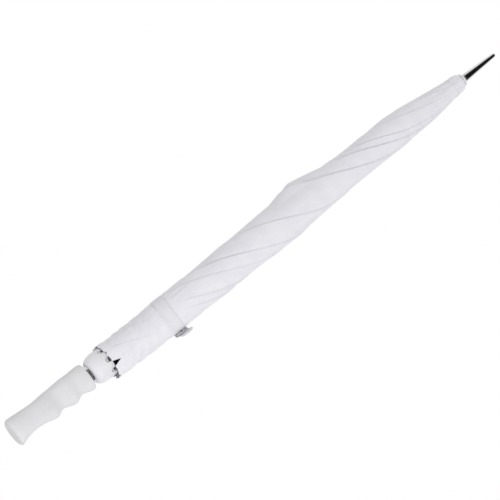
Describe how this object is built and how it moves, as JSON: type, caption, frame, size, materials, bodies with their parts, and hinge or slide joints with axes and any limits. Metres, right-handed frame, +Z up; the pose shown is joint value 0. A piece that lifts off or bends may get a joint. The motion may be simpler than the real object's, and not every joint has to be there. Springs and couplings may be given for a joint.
{
  "type": "golf umbrella",
  "caption": "A furled golf umbrella with a finger-grooved straight grip, a bell cup over the rib tips, ribs and stretchers that open from a sliding runner, and a metal spike.",
  "frame": {"origin": "on the shaft's axis, at the flat end face of the grip", "axes": "+Z runs up the shaft towards the spike; +X points towards the finger grooves of the grip and the strap's snap; +Y completes the right-handed set"},
  "size_m": [0.0727, 0.0608, 1],
  "materials": {
    "grip": "soft-touch matte light grey-white, fine moulded grain",
    "white_plastic": "satin moulded white plastic",
    "chrome": "polished chrome plate",
    "spike_chrome": "polished dark chrome",
    "steel": "plated steel strip and tube",
    "canopy_cloth": "white polyester pongee with a soft sheen",
    "strap_cloth": "the canopy's own cloth, folded double"
  },
  "bodies": {
    "shaft_assembly": {"grip": "grip", "ferrule_ring": "chrome", "tip_cup": "white_plastic", "shaft": "steel", "stop_pin": "steel", "notch": "white_plastic", "notch_wire": "steel", "rosette": "canopy_cloth", "collar": "white_plastic", "spike": "spike_chrome"},
    "runner_assembly": {"runner": "white_plastic", "runner_wire": "steel"},
    "lower_catch_body": {"lower_catch": "steel"},
    "upper_catch_body": {"upper_catch": "steel"},
    "strap_tab_body": {"strap_tab": "strap_cloth", "snap_cap": "chrome"},
    "rib_assembly_0": {"rib_0": "steel", "rib_tip_0": "chrome", "rivet_0": "steel", "closure_strap": "strap_cloth", "snap_socket": "chrome"},
    "stretcher_assembly_0": {"stretcher_0": "steel"},
    "canopy_panel_0": {"gore_0": "canopy_cloth"},
    "rib_assembly_1": {"rib_1": "steel", "rib_tip_1": "chrome", "rivet_1": "steel"},
    "stretcher_assembly_1": {"stretcher_1": "steel"},
    "canopy_panel_1": {"gore_1": "canopy_cloth"},
    "rib_assembly_2": {"rib_2": "steel", "rib_tip_2": "chrome", "rivet_2": "steel"},
    "stretcher_assembly_2": {"stretcher_2": "steel"},
    "canopy_panel_2": {"gore_2": "canopy_cloth"},
    "rib_assembly_3": {"rib_3": "steel", "rib_tip_3": "chrome", "rivet_3": "steel"},
    "stretcher_assembly_3": {"stretcher_3": "steel"},
    "canopy_panel_3": {"gore_3": "canopy_cloth"},
    "rib_assembly_4": {"rib_4": "steel", "rib_tip_4": "chrome", "rivet_4": "steel"},
    "stretcher_assembly_4": {"stretcher_4": "steel"},
    "canopy_panel_4": {"gore_4": "canopy_cloth"},
    "rib_assembly_5": {"rib_5": "steel", "rib_tip_5": "chrome", "rivet_5": "steel"},
    "stretcher_assembly_5": {"stretcher_5": "steel"},
    "canopy_panel_5": {"gore_5": "canopy_cloth"},
    "rib_assembly_6": {"rib_6": "steel", "rib_tip_6": "chrome", "rivet_6": "steel"},
    "stretcher_assembly_6": {"stretcher_6": "steel"},
    "canopy_panel_6": {"gore_6": "canopy_cloth"},
    "rib_assembly_7": {"rib_7": "steel", "rib_tip_7": "chrome", "rivet_7": "steel"},
    "stretcher_assembly_7": {"stretcher_7": "steel"},
    "canopy_panel_7": {"gore_7": "canopy_cloth"}
  },
  "joints": [
    {"name": "runner_slide", "type": "slide", "parent": "shaft_assembly", "child": "runner_assembly", "axis": [0, 0, 1], "range_m": [0, 0.4366], "deforming": ["closure_strap", "strap_tab"]},
    {"name": "rib_hinge_0", "type": "hinge", "parent": "shaft_assembly", "child": "rib_assembly_0", "pos_m": [0.0093, 0, 0.908], "axis": [0, -1, 0], "range_deg": [0, 74.01]},
    {"name": "stretcher_hinge_0", "type": "hinge", "parent": "rib_assembly_0", "child": "stretcher_assembly_0", "pos_m": [0.01129, 0, 0.58598], "axis": [0, 1, 0], "range_deg": [0, 140.44]},
    {"name": "panel_fan_0", "type": "hinge", "parent": "rib_assembly_0", "child": "canopy_panel_0", "pos_m": [0.0093, 0.00385, 0.908], "axis": [0.7583, 0.3141, -0.5712], "range_deg": [0, 53.27]},
    {"name": "rib_hinge_1", "type": "hinge", "parent": "shaft_assembly", "child": "rib_assembly_1", "pos_m": [0.00658, 0.00658, 0.908], "axis": [0.7071, -0.7071, 0], "range_deg": [0, 74.01]},
    {"name": "stretcher_hinge_1", "type": "hinge", "parent": "rib_assembly_1", "child": "stretcher_assembly_1", "pos_m": [0.00798, 0.00798, 0.58598], "axis": [-0.7071, 0.7071, 0], "range_deg": [0, 140.44]},
    {"name": "panel_fan_1", "type": "hinge", "parent": "rib_assembly_1", "child": "canopy_panel_1", "pos_m": [0.00385, 0.0093, 0.908], "axis": [0.3141, 0.7583, -0.5712], "range_deg": [0, 53.27]},
    {"name": "rib_hinge_2", "type": "hinge", "parent": "shaft_assembly", "child": "rib_assembly_2", "pos_m": [0, 0.0093, 0.908], "axis": [1, 0, 0], "range_deg": [0, 74.01]},
    {"name": "stretcher_hinge_2", "type": "hinge", "parent": "rib_assembly_2", "child": "stretcher_assembly_2", "pos_m": [0, 0.01129, 0.58598], "axis": [-1, 0, 0], "range_deg": [0, 140.44]},
    {"name": "panel_fan_2", "type": "hinge", "parent": "rib_assembly_2", "child": "canopy_panel_2", "pos_m": [-0.00385, 0.0093, 0.908], "axis": [-0.3141, 0.7583, -0.5712], "range_deg": [0, 53.27]},
    {"name": "rib_hinge_3", "type": "hinge", "parent": "shaft_assembly", "child": "rib_assembly_3", "pos_m": [-0.00658, 0.00658, 0.908], "axis": [0.7071, 0.7071, 0], "range_deg": [0, 74.01]},
    {"name": "stretcher_hinge_3", "type": "hinge", "parent": "rib_assembly_3", "child": "stretcher_assembly_3", "pos_m": [-0.00798, 0.00798, 0.58598], "axis": [-0.7071, -0.7071, 0], "range_deg": [0, 140.44]},
    {"name": "panel_fan_3", "type": "hinge", "parent": "rib_assembly_3", "child": "canopy_panel_3", "pos_m": [-0.0093, 0.00385, 0.908], "axis": [-0.7583, 0.3141, -0.5712], "range_deg": [0, 53.27]},
    {"name": "rib_hinge_4", "type": "hinge", "parent": "shaft_assembly", "child": "rib_assembly_4", "pos_m": [-0.0093, 0, 0.908], "axis": [0, 1, 0], "range_deg": [0, 74.01]},
    {"name": "stretcher_hinge_4", "type": "hinge", "parent": "rib_assembly_4", "child": "stretcher_assembly_4", "pos_m": [-0.01129, 0, 0.58598], "axis": [0, -1, 0], "range_deg": [0, 140.44]},
    {"name": "panel_fan_4", "type": "hinge", "parent": "rib_assembly_4", "child": "canopy_panel_4", "pos_m": [-0.0093, -0.00385, 0.908], "axis": [-0.7583, -0.3141, -0.5712], "range_deg": [0, 53.27]},
    {"name": "rib_hinge_5", "type": "hinge", "parent": "shaft_assembly", "child": "rib_assembly_5", "pos_m": [-0.00658, -0.00658, 0.908], "axis": [-0.7071, 0.7071, 0], "range_deg": [0, 74.01]},
    {"name": "stretcher_hinge_5", "type": "hinge", "parent": "rib_assembly_5", "child": "stretcher_assembly_5", "pos_m": [-0.00798, -0.00798, 0.58598], "axis": [0.7071, -0.7071, 0], "range_deg": [0, 140.44]},
    {"name": "panel_fan_5", "type": "hinge", "parent": "rib_assembly_5", "child": "canopy_panel_5", "pos_m": [-0.00385, -0.0093, 0.908], "axis": [-0.3141, -0.7583, -0.5712], "range_deg": [0, 53.27]},
    {"name": "rib_hinge_6", "type": "hinge", "parent": "shaft_assembly", "child": "rib_assembly_6", "pos_m": [0, -0.0093, 0.908], "axis": [-1, 0, 0], "range_deg": [0, 74.01]},
    {"name": "stretcher_hinge_6", "type": "hinge", "parent": "rib_assembly_6", "child": "stretcher_assembly_6", "pos_m": [0, -0.01129, 0.58598], "axis": [1, 0, 0], "range_deg": [0, 140.44]},
    {"name": "panel_fan_6", "type": "hinge", "parent": "rib_assembly_6", "child": "canopy_panel_6", "pos_m": [0.00385, -0.0093, 0.908], "axis": [0.3141, -0.7583, -0.5712], "range_deg": [0, 53.27]},
    {"name": "rib_hinge_7", "type": "hinge", "parent": "shaft_assembly", "child": "rib_assembly_7", "pos_m": [0.00658, -0.00658, 0.908], "axis": [-0.7071, -0.7071, 0], "range_deg": [0, 74.01]},
    {"name": "stretcher_hinge_7", "type": "hinge", "parent": "rib_assembly_7", "child": "stretcher_assembly_7", "pos_m": [0.00798, -0.00798, 0.58598], "axis": [0.7071, 0.7071, 0], "range_deg": [0, 140.44]},
    {"name": "panel_fan_7", "type": "hinge", "parent": "rib_assembly_7", "child": "canopy_panel_7", "pos_m": [0.0093, -0.00385, 0.908], "axis": [0.7583, -0.3141, -0.5712], "range_deg": [0, 53.27]},
    {"name": "lower_catch_press", "type": "slide", "parent": "shaft_assembly", "child": "lower_catch_body", "axis": [0.9239, 0.3827, 0], "range_m": [-0.003, 0], "stiffness_N_per_m": 600, "springref_m": 0.001},
    {"name": "upper_catch_press", "type": "slide", "parent": "shaft_assembly", "child": "upper_catch_body", "axis": [0.9239, 0.3827, 0], "range_m": [-0.003, 0], "stiffness_N_per_m": 600, "springref_m": 0.001},
    {"name": "strap_tab_peel", "type": "hinge", "parent": "rib_assembly_0", "child": "strap_tab_body", "pos_m": [0.02467, 0.0189, 0.293], "axis": [0, 0, 1], "range_deg": [0, 70]}
  ],
  "couplings": [
    {"joint": "rib_hinge_0", "follows": "runner_slide", "rad_per_m": 2.9582},
    {"joint": "stretcher_hinge_0", "follows": "runner_slide", "rad_per_m": 5.6139},
    {"joint": "panel_fan_0", "follows": "runner_slide", "rad_per_m": 2.1289},
    {"joint": "rib_hinge_1", "follows": "runner_slide", "rad_per_m": 2.9582},
    {"joint": "stretcher_hinge_1", "follows": "runner_slide", "rad_per_m": 5.6139},
    {"joint": "panel_fan_1", "follows": "runner_slide", "rad_per_m": 2.1289},
    {"joint": "rib_hinge_2", "follows": "runner_slide", "rad_per_m": 2.9582},
    {"joint": "stretcher_hinge_2", "follows": "runner_slide", "rad_per_m": 5.6139},
    {"joint": "panel_fan_2", "follows": "runner_slide", "rad_per_m": 2.1289},
    {"joint": "rib_hinge_3", "follows": "runner_slide", "rad_per_m": 2.9582},
    {"joint": "stretcher_hinge_3", "follows": "runner_slide", "rad_per_m": 5.6139},
    {"joint": "panel_fan_3", "follows": "runner_slide", "rad_per_m": 2.1289},
    {"joint": "rib_hinge_4", "follows": "runner_slide", "rad_per_m": 2.9582},
    {"joint": "stretcher_hinge_4", "follows": "runner_slide", "rad_per_m": 5.6139},
    {"joint": "panel_fan_4", "follows": "runner_slide", "rad_per_m": 2.1289},
    {"joint": "rib_hinge_5", "follows": "runner_slide", "rad_per_m": 2.9582},
    {"joint": "stretcher_hinge_5", "follows": "runner_slide", "rad_per_m": 5.6139},
    {"joint": "panel_fan_5", "follows": "runner_slide", "rad_per_m": 2.1289},
    {"joint": "rib_hinge_6", "follows": "runner_slide", "rad_per_m": 2.9582},
    {"joint": "stretcher_hinge_6", "follows": "runner_slide", "rad_per_m": 5.6139},
    {"joint": "panel_fan_6", "follows": "runner_slide", "rad_per_m": 2.1289},
    {"joint": "rib_hinge_7", "follows": "runner_slide", "rad_per_m": 2.9582},
    {"joint": "stretcher_hinge_7", "follows": "runner_slide", "rad_per_m": 5.6139},
    {"joint": "panel_fan_7", "follows": "runner_slide", "rad_per_m": 2.1289}
  ]
}
